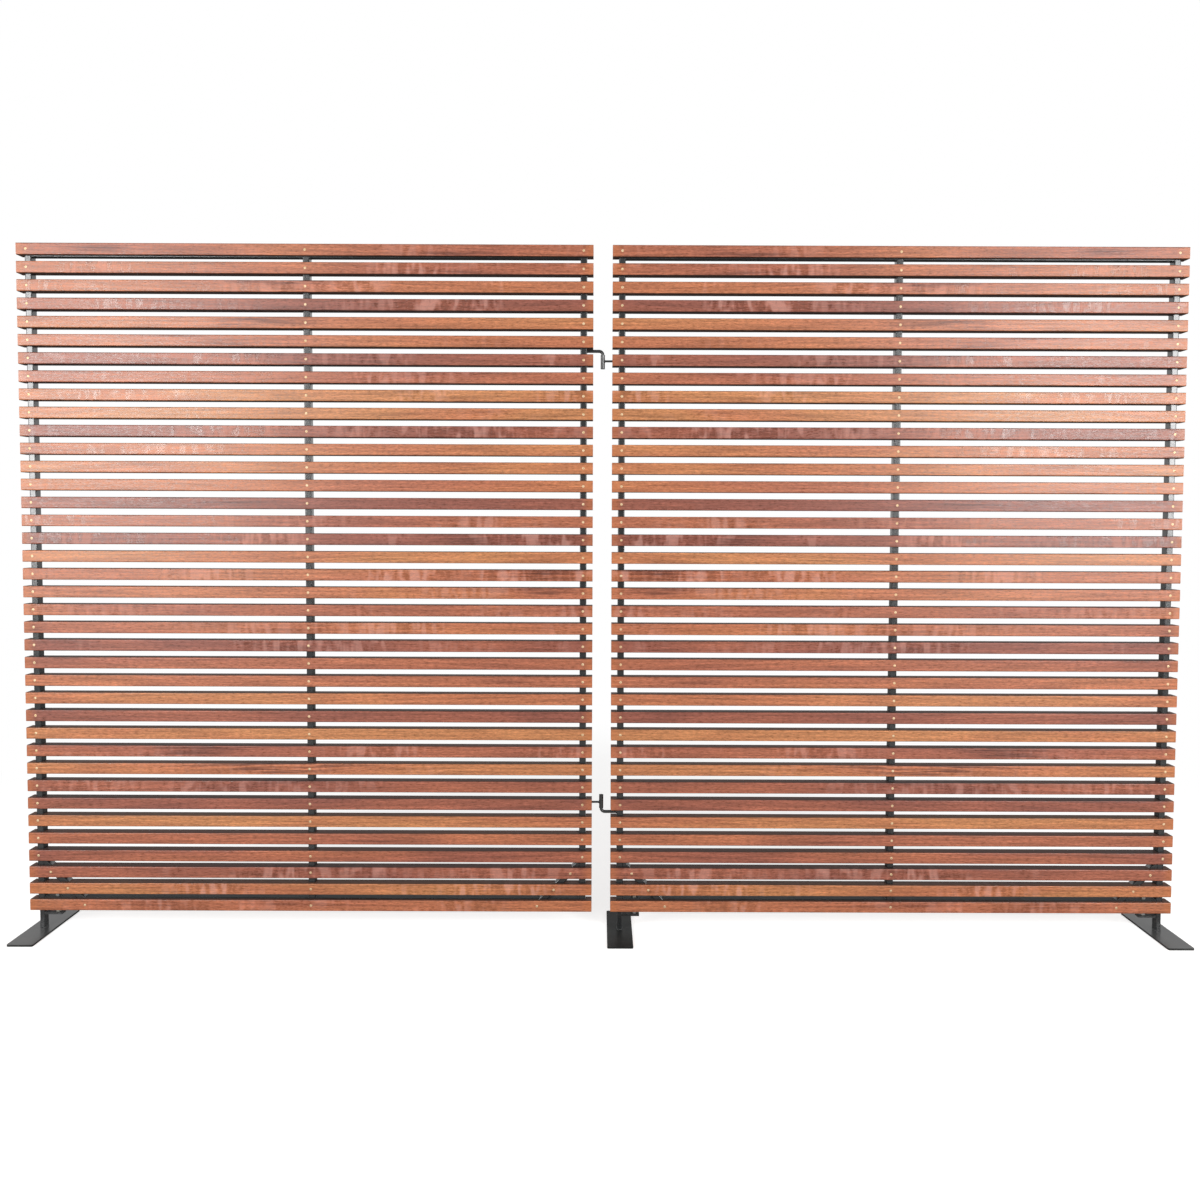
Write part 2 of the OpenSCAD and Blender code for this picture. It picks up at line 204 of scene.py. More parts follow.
def add_node(
    tree: NodeTree,
    kind: str,
    inputs: Sequence[Any] | dict[Any, Any] = (),
    stops: Sequence[tuple[float, str]] = (),
    **settings: Any,
) -> Node:
    """Adds a node with its settings, its constants and its links.

    Args:
        tree: The tree that gets the node.
        kind: The node's type, without the ShaderNode in front, and with its operation behind a
            colon where it has one.
        inputs: What the inputs take, in the node's own order, or by name or number. A socket is
            linked, a node is linked by the first output that it shows, and anything else is a
            constant.
        stops: Places and hex colours of a colour ramp.
        **settings: Properties of the node itself.

    Returns:
        The new node.
    """
    kind, _, operation = kind.partition(":")
    node = tree.nodes.new(f"ShaderNode{kind}")
    if operation:
        node.operation = operation
    for name, value in settings.items():
        setattr(node, name, value)
    given = inputs.items() if isinstance(inputs, dict) else enumerate(inputs)
    for key, value in given:
        if isinstance(value, Node):
            value = next(socket for socket in value.outputs if socket.enabled)
        if isinstance(value, NodeSocket):
            tree.links.new(value, node.inputs[key])
        else:
            node.inputs[key].default_value = value
    if stops:
        ramp = node.color_ramp.elements
        while len(ramp) < len(stops):
            ramp.new(0.5)
        for element, (place, code) in zip(ramp, stops):
            element.position = place
            element.color = linear(code)
    return node


def fill_tree(owner: Material | World) -> AddNode:
    """Clears the node tree of a material or a world.

    Args:
        owner: The material or the world.

    Returns:
        The function that adds a node to its tree.
    """
    owner.use_nodes = True
    owner.node_tree.nodes.clear()
    return partial(add_node, owner.node_tree)


# ---------------- finishes


@dataclass(frozen=True)
class Finish:
    """What each finish has: a name, and a material that is made once."""

    name: str

    def make(self) -> Material:
        """Gives the finish's material, and makes it the first time.

        Returns:
            The material, whose Principled node takes what the skin says.
        """
        found = bpy.data.materials.get(self.name)
        if found:
            return found
        material = bpy.data.materials.new(self.name)
        add = fill_tree(material)
        shader = add("BsdfPrincipled", self.skin(add, add("TexCoord")))
        add("OutputMaterial", {"Surface": shader})
        return material

    def skin(self, add: AddNode, texture: Node) -> dict[str, Any]:
        """Lays out the nodes and gives the Principled node's inputs; each finish has its own."""
        raise NotImplementedError


class Grain(Enum):
    """The patterns in the wood: cells per metre along and across, detail and roughness."""

    TONE = (1.5, 9.0, 2.0, 0.45)
    STREAK = (4.2, 1 / (7.0 * MM), 4.0, 0.62)
    FIBRE = (14.0, 1 / (1.3 * MM), 2.0, 0.6)
    FLECK = (62.0, 1 / (4.0 * MM), 2.0, 0.65)
    RIBBON = (1 / (20.0 * MM), 16.0, 1.2, 0.5)
    PATCH = (3.2, 5.0, 1.0, 0.4)
    PORE = (130.0, 1 / (0.5 * MM), 1.0, 0.5)


@dataclass(frozen=True)
class OiledHardwood(Finish):
    """Planed tropical hardwood under a satin oil.

    Every slat is another board: its tone, its slope of grain and its figure differ. The eye
    gets long red-brown streaks with short flecks, here and there a cross ribbon that breaks the
    shine and whose bars carry a painted sheen, smoky dark patches, short open pores, and paler
    orange ends. Only the front is planed fine; the top and the underside came dull from the saw,
    and painted shade darkens them, and the back a little.
    """

    name: str = "hardwood_planed_and_oiled"
    boards: tuple[tuple[float, str], ...] = (
        (0.0, "9A5B4B"), (0.25, "B16951"), (0.5, "C07454"), (0.78, "CA7E56"), (1.0, "D08B5B"),
    )
    rings: tuple[tuple[float, str], ...] = ((0.0, "6B3524"), (0.55, "8A4A30"), (1.0, "9C5A3A"))
    # Pale rosy tint laid over the ribbon's bars as a painted sheen.
    ribbon: str = "DBA79A"
    smoke: str = "5A3026"
    # The paler orange mixed into the last centimetres of each slat.
    dried: str = "CC7A48"
    pore: str = "4A2219"
    first_lot: float = 294869.0
    slope: float = 0.022
    stretch: float = 37.0
    wander: float = 0.25
    drift: float = 0.24
    ring_mm: float = 2.2
    # How much the ribbon's painted sheen lifts the colour, and how much of its pale tint is mixed
    # in.
    ribbon_sheen_lift: float = 0.34
    ribbon_sheen_share: float = 0.7
    ribbon_dulling: float = 0.4
    pore_share: float = 0.45
    pale_end_share: float = 0.4
    pale_end_mm: tuple[float, float] = (38.0, 4.0)
    roughness: float = 0.35

    def skin(self, add: AddNode, texture: Node) -> dict[str, Any]:
        """Lays out the wood, from the board's number to the sawn faces."""
        return WoodSkin(self, add, texture).lay_out()


class WoodSkin:
    """The wood's nodes, and what all of them read."""

    def __init__(self, look: OiledHardwood, add: AddNode, texture: Node) -> None:
        """Finds a place's board and draws the board's three chances.

        Args:
            look: The wood's colours and measures.
            add: Adds a node to the material.
            texture: The texture coordinates.
        """
        self.look = look
        self.add = add
        self.place = add("SeparateXYZ", (texture.outputs["Object"],)).outputs
        self.facing = add("SeparateXYZ", (texture.outputs["Normal"],)).outputs
        # The two panels were cut from the same run of boards, so they look alike mirrored.
        self.along = add("Math:ABSOLUTE", (self.place["X"],))
        closed = SIZES.low_count * SIZES.low_closing
        raised = (SIZES.pitch - SIZES.face + closed) / 2 - SIZES.ground
        lifted = add("Math:ADD", (self.place["Z"], raised))
        counted = add("Math:DIVIDE", (lifted, SIZES.pitch))
        row = add("Math:FLOOR", (counted,))
        number = add("Math:ADD", (row, look.first_lot))
        lot = add("TexWhiteNoise", {"W": number}, noise_dimensions="1D")
        self.chance = add("SeparateColor", (lot.outputs["Color"],)).outputs
        self.noise = self._grain()

    def lay_out(self) -> dict[str, Any]:
        """Lays the tints over the board's tone, and the shine and the relief over all.

        Returns:
            What the inputs of the Principled node take.
        """
        look = self.look
        # The ribbon's bars carry a painted sheen: a lift of the colour, and a pale rosy tint mixed
        # in below.
        figure, sheen_lift = self._figure()
        colour = self.add("VectorMath:SCALE", {0: self._tone(), 3: sheen_lift})
        pores = self.add("MapRange", (self.noise[Grain.PORE], 0.62, 0.7))
        rosy_sheen = self.add("Math:MULTIPLY", (figure, look.ribbon_sheen_share), use_clamp=True)
        dark = self.add("Math:MULTIPLY", (pores, look.pore_share))
        for share, tint in (
            (rosy_sheen, linear(look.ribbon)),
            (self._smoke(), linear(look.smoke)),
            (self._ends(), linear(look.dried)),
            (dark, linear(look.pore)),
            self._end_grain(),
        ):
            mixed = {"Factor": share, "A": colour, "B": tint}
            colour = self.add("Mix", mixed, data_type="RGBA")
        fleck = self.noise[Grain.FLECK]
        planed = (fleck, 0.3, 0.7, look.roughness - 0.12, look.roughness + 0.16)
        broken = (figure, look.ribbon_dulling, self.add("MapRange", planed))
        shine = self.add("Math:MULTIPLY_ADD", broken)
        # Painted shade darkens the top, the underside and the back of each slat.
        dim, dull = self._shade_and_dull_faces(shine)
        colour = self.add("VectorMath:SCALE", {0: colour, 3: dim})
        # The pores dip and the flecks stand up. The ribbon's fibres rise and dip too, which is
        # what throws the shine about in bars.
        relief = self.noise[Grain.FIBRE]
        for part, height in ((pores, -1.6), (fleck, 5.0), (figure, 1.2)):
            relief = self.add("Math:MULTIPLY_ADD", (part, height, relief))
        bump = self.add("Bump", {"Height": relief, "Strength": 0.35, "Distance": 0.12 * MM})
        return {
            "Base Color": colour, "Roughness": dull, "Normal": bump, "IOR": 1.5,
            "Coat Weight": 0.12, "Coat Roughness": 0.28,
        }

    def _grain(self) -> dict[Grain, Node]:
        """Gives each board its own stretch of grain, which runs a little out of true.

        Returns:
            The patterns, drawn out along the grain.
        """
        slope = self.add("MapRange", (self.chance[1], 0.0, 1.0, -self.look.slope, self.look.slope))
        slid = self.add("Math:MULTIPLY_ADD", (self.along, slope, self.place["Z"]))
        start = self.add("Math:MULTIPLY_ADD", (self.chance[0], self.look.stretch, self.along))
        spot = self.add("CombineXYZ", (start, self.place["Y"], slid))
        patterns = {}
        for grain in Grain:
            lengthwise, across, detail, roughness = grain.value
            drawn = self.add("VectorMath:MULTIPLY", (spot, (lengthwise, across, across)))
            patterns[grain] = self.add("TexNoise", {
                "Vector": drawn, "Scale": 1.0, "Detail": detail, "Roughness": roughness,
                "Distortion": self.look.wander,
            })
        return patterns

    def _tone(self) -> Node:
        """Mixes the board's tone, its slow drift along the slat, its streaks and its flecks.

        Returns:
            The colour.
        """
        swing = self.look.drift
        drift = self.add("MapRange", (self.noise[Grain.TONE], 0.3, 0.7, -swing, swing))
        chosen = self.add("Math:ADD", (self.chance[2], drift), use_clamp=True)
        tones = self.add("ValToRGB", (chosen,), self.look.boards)
        shade: Any = 1.0
        for grain, low, high, darkest, lightest in (
            (Grain.STREAK, 0.3, 0.72, 0.58, 1.24),
            (Grain.FIBRE, 0.25, 0.75, 0.86, 1.12),
            (Grain.FLECK, 0.3, 0.7, 0.7, 1.26),
        ):
            lit = self.add("MapRange", (self.noise[grain], low, high, darkest, lightest))
            shade = self.add("Math:MULTIPLY", (shade, lit))
        return self.add("VectorMath:SCALE", {0: tones, 3: shade})

    def _figure(self) -> tuple[Node, Node]:
        """Lays the cross ribbon over the boards that have one, in patches.

        Returns:
            The ribbon's strength, with its sign, and how much its painted sheen lifts the colour.
        """
        where = self.add("MapRange", (self.noise[Grain.PATCH], 0.46, 0.62))
        owner = self.add("MapRange", (self.chance[0], 0.35, 0.75))
        strength = self.add("Math:MULTIPLY", (where, owner))
        bars = self.add("MapRange", (self.noise[Grain.RIBBON], 0.36, 0.64, -0.5, 0.5))
        figure = self.add("Math:MULTIPLY", (bars, strength))
        # Painted sheen: the bars lighten and darken the colour by up to a sixth.
        return figure, self.add("Math:MULTIPLY_ADD", (figure, self.look.ribbon_sheen_lift, 1.0))

    def _smoke(self) -> Node:
        """Finds the few smoky streaks, where the slow drift is at its lowest.

        Returns:
            The share of the smoke's colour.
        """
        low = self.add("MapRange", (self.noise[Grain.TONE], 0.36, 0.27))
        line = self.add("MapRange", (self.noise[Grain.STREAK], 0.56, 0.4))
        return self.add("Math:MULTIPLY", (low, line))

    def _ends(self) -> Node:
        """Finds the last centimetres of each slat, which are mixed towards a paler orange.

        Returns:
            The share of the dried wood's colour.
        """
        off = self.add("Math:SUBTRACT", (self.along, SIZES.centre))
        away = self.add("Math:ABSOLUTE", (off,))
        inner, outer = (SIZES.length / 2 - distance * MM for distance in self.look.pale_end_mm)
        fade = (away, inner, outer, 0.0, self.look.pale_end_share)
        return self.add("MapRange", fade, interpolation_type="SMOOTHSTEP")

    def _end_grain(self) -> tuple[Node, Node]:
        """Draws growth rings on the slats' end faces, round a heart that lies off the board.

        Returns:
            The share of the rings, and their colour.
        """
        turned = self.add("Math:ABSOLUTE", (self.facing["X"],))
        on_end = self.add("MapRange", (turned, 0.85, 0.95))
        heart = self.add("Math:MULTIPLY_ADD", (self.chance[1], 0.09, 0.05))
        across = self.add("Math:ADD", (self.place["Y"], heart))
        cut = self.add("CombineXYZ", {1: across, 2: self.place["Z"]})
        rings = self.add("TexWave", {
            "Vector": cut, "Scale": 0.05 / (self.look.ring_mm * MM), "Distortion": 2.5,
            "Detail": 2.0, "Detail Scale": 6.0,
        }, wave_type="RINGS", rings_direction="X")
        return on_end, self.add("ValToRGB", (rings.outputs["Fac"],), self.look.rings)

    def _shade_and_dull_faces(self, shine: Node) -> tuple[Node, Node]:
        """Darkens the top, the underside and a little the back of a slat as painted shade, and
        dulls them.

        Args:
            shine: The roughness of the planed front.

        Returns:
            The painted shade, as the share of the colour that is left, and the roughness.
        """
        steep = self.add("Math:ABSOLUTE", (self.facing["Z"],))
        flat = self.add("MapRange", (steep, 0.6, 0.92))
        back = self.add("MapRange", (self.facing["Y"], 0.3, 0.8, 0.0, 0.3))
        sawn_and_shaded = self.add("Math:MAXIMUM", (flat, back))
        # Painted shade: the colour falls to a fifth on the top and the underside, and by about a
        # quarter on the back.
        dim = self.add("MapRange", (sawn_and_shaded, 0.0, 1.0, 1.0, 0.2))
        return dim, self.add("MapRange", (sawn_and_shaded, 0.0, 1.0, shine, 1.0))


@dataclass(frozen=True)
class PowderCoat(Finish):
    """Powder coat on steel, by default a satin black.

    The eye gets a dark skin with a fine orange peel, a slow change from black to dark grey
    where it was handled, and a little pale dust and rubbing. Faces that lay level in the booth
    can have caught overspray, and are then drier.
    """

    name: str = "steel_powder_coated_satin_black"
    deep: str = "1F2021"
    worn: str = "303233"
    dust: str = "5B5C5A"
    peel_mm: float = 0.9
    scuff_mm: float = 30.0
    roughness: float = 0.24
    dry: float = 0.8
    scuffed: float = 0.25
    gloss: float = 1.0

    def skin(self, add: AddNode, texture: Node) -> dict[str, Any]:
        """Lays out the coat's slow change of grey, its scuffs and its orange peel.

        Args:
            add: Adds a node to the material.
            texture: The texture coordinates.

        Returns:
            What the inputs of the Principled node take.
        """
        spot = texture.outputs["Object"]
        slow = add("TexNoise", {"Vector": spot, "Scale": 6.0, "Detail": 4.0, "Roughness": 0.6})
        scuff = add("TexNoise", {
            "Vector": spot, "Scale": 1 / (self.scuff_mm * MM), "Detail": 9.0,
            "Roughness": 0.72, "Distortion": 0.8,
        })
        peel = add("TexNoise", {
            "Vector": spot, "Scale": 1 / (self.peel_mm * MM), "Detail": 1.0, "Roughness": 0.4,
        })
        black = add("ValToRGB", (slow,), ((0.35, self.deep), (0.68, self.worn)))
        mask = add("MapRange", (scuff, 0.58, 0.74, 0.0, self.scuffed))
        rubbed = add("Mix", {"Factor": mask, "A": black, "B": linear(self.dust)}, data_type="RGBA")
        dull = add("MapRange", (scuff, 0.3, 0.7, self.roughness - 0.05, self.roughness + 0.08))
        facing = add("SeparateXYZ", (texture.outputs["Normal"],))
        steep = add("Math:ABSOLUTE", (facing.outputs["Z"],))
        dried = add("MapRange", (steep, 0.75, 0.95, dull, self.dry))
        bump = add("Bump", {"Height": peel, "Strength": 0.25, "Distance": 0.06 * MM})
        return {
            "Base Color": rubbed, "Roughness": dried, "Normal": bump, "IOR": 1.5,
            "Specular IOR Level": self.gloss,
        }


@dataclass(frozen=True)
class TurnedBrass(Finish):
    """Turned brass.

    The eye gets a warm bright metal with fine turning marks and brown tarnish in its hollows.
    """

    name: str = "brass_turned"
    bright: str = "FAE6C6"
    tarnish: str = "E0C08E"
    mark_mm: float = 0.35
    roughness: float = 0.58

    def skin(self, add: AddNode, texture: Node) -> dict[str, Any]:
        """Lays out the brass's tarnish and its turning marks.

        Args:
            add: Adds a node to the material.
            texture: The texture coordinates.

        Returns:
            What the inputs of the Principled node take.
        """
        spot = texture.outputs["Object"]
        cloud = add("TexNoise", {"Vector": spot, "Scale": 240.0, "Detail": 3.0})
        colour = add("ValToRGB", (cloud,), ((0.32, self.tarnish), (0.6, self.bright)))
        marks = add("TexNoise", {"Vector": spot, "Scale": 1 / (self.mark_mm * MM), "Detail": 2.0})
        rough = add("MapRange", (cloud, 0.0, 1.0, self.roughness - 0.08, self.roughness + 0.16))
        bump = add("Bump", {"Height": marks, "Strength": 0.3, "Distance": 0.03 * MM})
        return {"Base Color": colour, "Roughness": rough, "Normal": bump, "Metallic": 1.0}


@dataclass(frozen=True)
class ZincPlate(Finish):
    """Bright zinc plate on steel.

    The eye gets a cool silver with a faint yellow bloom and cloudy spangle.
    """

    name: str = "steel_zinc_plated"
    silver: str = "C4C7CB"
    bloom: str = "B9B08E"
    spangle_mm: float = 2.0
    roughness: float = 0.34

    def skin(self, add: AddNode, texture: Node) -> dict[str, Any]:
        """Lays out the plating's spangle and its bloom.

        Args:
            add: Adds a node to the material.
            texture: The texture coordinates.

        Returns:
            What the inputs of the Principled node take.
        """
        spot = texture.outputs["Object"]
        cells = add("TexVoronoi", {"Vector": spot, "Scale": 1 / (self.spangle_mm * MM)})
        cloud = add("TexNoise", {"Vector": spot, "Scale": 90.0, "Detail": 4.0})
        colour = add("ValToRGB", (cloud,), ((0.38, self.silver), (0.75, self.bloom)))
        rough = add("MapRange", (cells, 0.0, 1.0, self.roughness - 0.08, self.roughness + 0.1))
        return {"Base Color": colour, "Roughness": rough, "Metallic": 1.0}


@dataclass(frozen=True)
class MouldedPlastic(Finish):
    """Injection-moulded black polyethylene.

    The eye gets a dull black with the fine grain of a spark-eroded mould.
    """

    name: str = "polyethylene_moulded_black"
    deep: str = "161616"
    worn: str = "262626"
    grain_mm: float = 0.4
    roughness: float = 0.62

    def skin(self, add: AddNode, texture: Node) -> dict[str, Any]:
        """Lays out the mould's grain.

        Args:
            add: Adds a node to the material.
            texture: The texture coordinates.

        Returns:
            What the inputs of the Principled node take.
        """
        grain = add("TexNoise", {
            "Vector": texture.outputs["Object"], "Scale": 1 / (self.grain_mm * MM), "Detail": 2.0,
        })
        colour = add("ValToRGB", (grain,), ((0.3, self.deep), (0.7, self.worn)))
        bump = add("Bump", {"Height": grain, "Strength": 0.4, "Distance": 0.05 * MM})
        return {"Base Color": colour, "Roughness": self.roughness, "Normal": bump}


FINISHES: dict[Slot, Finish] = {
    Slot.HARDWOOD: OiledHardwood(),
    Slot.FRAME: PowderCoat(),
    Slot.PLATE: PowderCoat(
        name="flat_bar_powder_coated_dark_grey", deep="2E2F2F", worn="414241", dust="74736E",
        scuff_mm=45.0, roughness=0.28, dry=0.28, scuffed=0.45, gloss=0.32,
    ),
    Slot.BRASS: TurnedBrass(),
    Slot.ZINC: ZincPlate(),
    Slot.PLASTIC: MouldedPlastic(),
}
# The middle plate gets a darker colour and almost no shine; the darker colour is painted shade, for
# the dimmer surroundings that its top mirrors.
SHADED_MIDDLE_COAT = PowderCoat(
    name="flat_bar_coat_with_painted_shade", deep="262727", worn="343534", dust="5C5B57",
    scuff_mm=45.0, roughness=0.4, dry=0.4, scuffed=0.3, gloss=0.03,
)


# ---------------- bench work


def put_down() -> None:
    """Leaves edit mode and deselects everything."""
    if bpy.context.mode != "OBJECT":
        bpy.ops.object.mode_set(mode="OBJECT")
    bpy.ops.object.select_all(action="DESELECT")


def pick_up(piece: Object, *others: Object) -> None:
    """Selects pieces and makes the first one active.

    Args:
        piece: The piece that becomes active.
        *others: The pieces that are selected with it.
    """
    put_down()
    for one in (piece, *others):
        one.select_set(True)
    bpy.context.view_layer.objects.active = piece


def choose_faces(piece: Object, wanted: Callable[[MeshPolygon], bool]) -> None:
    """Enters edit mode with only the wanted faces selected.

    Args:
        piece: The piece to work on.
        wanted: Tells from a face whether it is selected.
    """
    pick_up(piece)
    bpy.ops.object.mode_set(mode="EDIT")
    bpy.ops.mesh.select_mode(type="FACE")
    bpy.ops.mesh.select_all(action="DESELECT")
    bpy.ops.object.mode_set(mode="OBJECT")
    for face in piece.data.polygons:
        face.select = wanted(face)
    bpy.ops.object.mode_set(mode="EDIT")


def finish_edit() -> None:
    """Merges doubles, turns the faces outwards and leaves edit mode."""
    bpy.ops.mesh.select_all(action="SELECT")
    bpy.ops.mesh.remove_doubles(threshold=1e-6)
    bpy.ops.mesh.normals_make_consistent(inside=False)
    bpy.ops.object.mode_set(mode="OBJECT")


def apply_modifier(piece: Object, kind: str, **settings: Any) -> None:
    """Adds a modifier and applies it.

    Args:
        piece: The piece that gets it.
        kind: The modifier's type.
        **settings: Its settings.
    """
    pick_up(piece)
    bpy.ops.object.modifier_add(type=kind)
    modifier = piece.modifiers[-1]
    for name, value in settings.items():
        setattr(modifier, name, value)
    bpy.ops.object.modifier_apply(modifier=modifier.name)


def copy_of(pattern: Object, place: Matrix) -> Object:
    """Copies a piece with its own mesh, already moved to its place.

    Args:
        pattern: The piece that is copied.
        place: Where the copy goes.

    Returns:
        The copy, with its object at the origin.
    """
    copy = pattern.copy()
    copy.data = pattern.data.copy()
    copy.data.transform(place)
    bpy.context.scene.collection.objects.link(copy)
    return copy


def join(pieces: Sequence[Object], name: str) -> Object:
    """Joins pieces into one with a name.

    Args:
        pieces: The pieces, all at the origin.
        name: The name of the joined piece.

    Returns:
        The joined piece.
    """
    pick_up(*pieces)
    bpy.ops.object.join()
    joined = bpy.context.view_layer.objects.active
    joined.name = name
    joined.data.name = name
    return joined


def settle(piece: Object) -> None:
    """Applies a piece's place, turn and scale, so that its object is at the origin."""
    pick_up(piece)
    bpy.ops.object.transform_apply(location=True, rotation=True, scale=True)


def dress(piece: Object, slot: Slot, finish: Optional[Finish] = None) -> None:
    """Gives a piece the material of a slot.

    Args:
        piece: A CAD node or a new piece.
        slot: The record's slot.
        finish: Another finish than the slot's usual one.
    """
    material = (finish or FINISHES[slot]).make()
    if not piece.data.materials:
        piece.data.materials.append(material)
    for place in piece.material_slots:
        place.material = material


def smooth(piece: Object, degrees: float) -> None:
    """Shades a piece smooth, except over edges sharper than an angle."""
    pick_up(piece)
    bpy.ops.object.shade_smooth_by_angle(angle=math.radians(degrees))


def hand_over(piece: Object, body: str, slot: Slot, replaces: Iterable[str] = ()) -> None:
    """Dresses a new piece, lets it ride on its body and reports it.

    Args:
        piece: The finished piece.
        body: The body that carries it.
        slot: The record's slot that it takes its finish from.
        replaces: CAD nodes that it stands for.
    """
    dress(piece, slot)
    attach(piece, body)
    nodes = tuple(replaces)
    if nodes:
        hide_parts(*nodes)
    LOG.info("%s: %d faces, rides on %s", piece.name, len(piece.data.polygons), body)


# ---------------- small parts


@dataclass
class SlatScrew:
    """A countersunk brass screw with a domed head and a cross recess."""

    head_radius: float = 4.0 * MM
    shank_radius: float = 2.0 * MM
    head_height: float = 2.0 * MM
    length: float = 26.0 * MM
    tip: float = 4.0 * MM
    tip_share: float = 0.15
    recess_reach: float = 2.1 * MM
    recess_width: float = 0.8 * MM
    recess_depth: float = 1.1 * MM
    recess_taper: float = 0.45
    dome: float = 0.4 * MM
    dome_share: float = 0.3
    sides: int = 12

    def build(self) -> Object:
        """Models the screw with its head at the origin, pointing down.

        Returns:
            The screw.
        """
        put_down()
        bpy.ops.mesh.primitive_circle_add(
            vertices=self.sides, radius=self.head_radius, fill_type="NGON", location=(0, 0, 0)
        )
        screw = bpy.context.active_object
        bpy.ops.object.mode_set(mode="EDIT")
        bpy.ops.mesh.select_all(action="SELECT")
        for drop, scale in (
            (self.head_height, self.shank_radius / self.head_radius),
            (self.length - self.head_height - self.tip, 1.0),
            (self.tip, self.tip_share),
        ):
            bpy.ops.mesh.extrude_region_move(TRANSFORM_OT_translate={"value": (0, 0, -drop)})
            bpy.ops.transform.resize(value=(scale, scale, 1))
        finish_edit()
        choose_faces(screw, lambda face: face.normal.z > 0.5)
        bpy.ops.mesh.inset(thickness=self.dome_share * self.head_radius, depth=self.dome)
        finish_edit()
        cutter = self._cross()
        apply_modifier(screw, "BOOLEAN", operation="DIFFERENCE", object=cutter, solver="EXACT")
        bpy.data.objects.remove(cutter)
        return screw

    def _cross(self) -> Object:
        """Models the cross-shaped driver that leaves the recess.

        Returns:
            The driver, narrower at its lower end.
        """
        put_down()
        bpy.ops.mesh.primitive_cube_add(size=1, location=(0, 0, 0))
        cross = bpy.context.active_object
        cross.scale = (self.recess_width, self.recess_width, 2 * self.recess_depth)
        settle(cross)
        choose_faces(cross, lambda face: abs(face.normal.z) < 0.5)
        bpy.ops.mesh.extrude_faces_move(
            TRANSFORM_OT_shrink_fatten={"value": self.recess_reach - self.recess_width / 2}
        )
        finish_edit()
        choose_faces(cross, lambda face: face.normal.z < -0.5)
        bpy.ops.transform.resize(value=(self.recess_taper, self.recess_taper, 1))
        finish_edit()
        return cross


@dataclass
class RodThread:
    """A rolled thread round a levelling rod, with its core."""

    radius: float = 4.95 * MM
    core: float = 4.15 * MM
    pitch: float = 1.5 * MM
    chamfer: float = 0.6 * MM
    sunk_share: float = 0.25
    flank_share: float = 0.46
    steps: int = 20
    sharp_degrees: float = 40.0

    def build(self, x: float, bottom: float, top: float, name: str) -> Object:
        """Models the threaded rod upright.

        Args:
            x: The rod's X.
            bottom: Height of its lower end.
            top: Height of its upper end.
            name: The piece's name.

        Returns:
            The rod.
        """
        height = top - bottom
        ridge = self._ridge(height)
        put_down()
        bpy.ops.mesh.primitive_cylinder_add(
            vertices=self.steps, radius=self.core, depth=height, location=(0, 0, height / 2)
        )
        core = bpy.context.active_object
        settle(core)
        choose_faces(core, lambda face: abs(face.normal.z) > 0.5)
        bpy.ops.mesh.bevel(offset=self.chamfer, segments=2, affect="EDGES")
        finish_edit()
        rod = join([core, ridge], name)
        rod.data.transform(Matrix.Translation((x, 0, bottom)))
        smooth(rod, self.sharp_degrees)
        return rod

    def _ridge(self, height: float) -> Object:
        """Spins a three-sided ridge up the rod and closes its ends.

        Args:
            height: The rod's height.

        Returns:
            The ridge, which starts and ends a turn short of the rod.
        """
        put_down()
        bpy.ops.mesh.primitive_circle_add(
            vertices=3, radius=1.0, fill_type="NOTHING", location=(0, 0, 0),
            rotation=(math.radians(90), 0, 0),
        )
        ridge = bpy.context.active_object
        settle(ridge)
        root = self.core - self.sunk_share * (self.radius - self.core)
        flank = self.flank_share * self.pitch
        corners = ((self.radius, 0.0), (root, -flank), (root, flank))
        for vertex, (out, up) in zip(ridge.data.vertices, corners):
            vertex.co = (out, 0.0, up + self.pitch)
        apply_modifier(
            ridge, "SCREW", axis="Z", angle=math.tau, screw_offset=self.pitch,
            iterations=int(height / self.pitch) - 2, steps=self.steps, render_steps=self.steps,
            use_merge_vertices=False,
        )
        pick_up(ridge)
        bpy.ops.object.mode_set(mode="EDIT")
        bpy.ops.mesh.select_mode(type="EDGE")
        bpy.ops.mesh.select_all(action="DESELECT")
        bpy.ops.mesh.select_non_manifold(
            extend=False, use_wire=False, use_boundary=True, use_multi_face=False,
            use_non_contiguous=False, use_verts=False,
        )
        bpy.ops.mesh.edge_face_add()
        finish_edit()
        return ridge


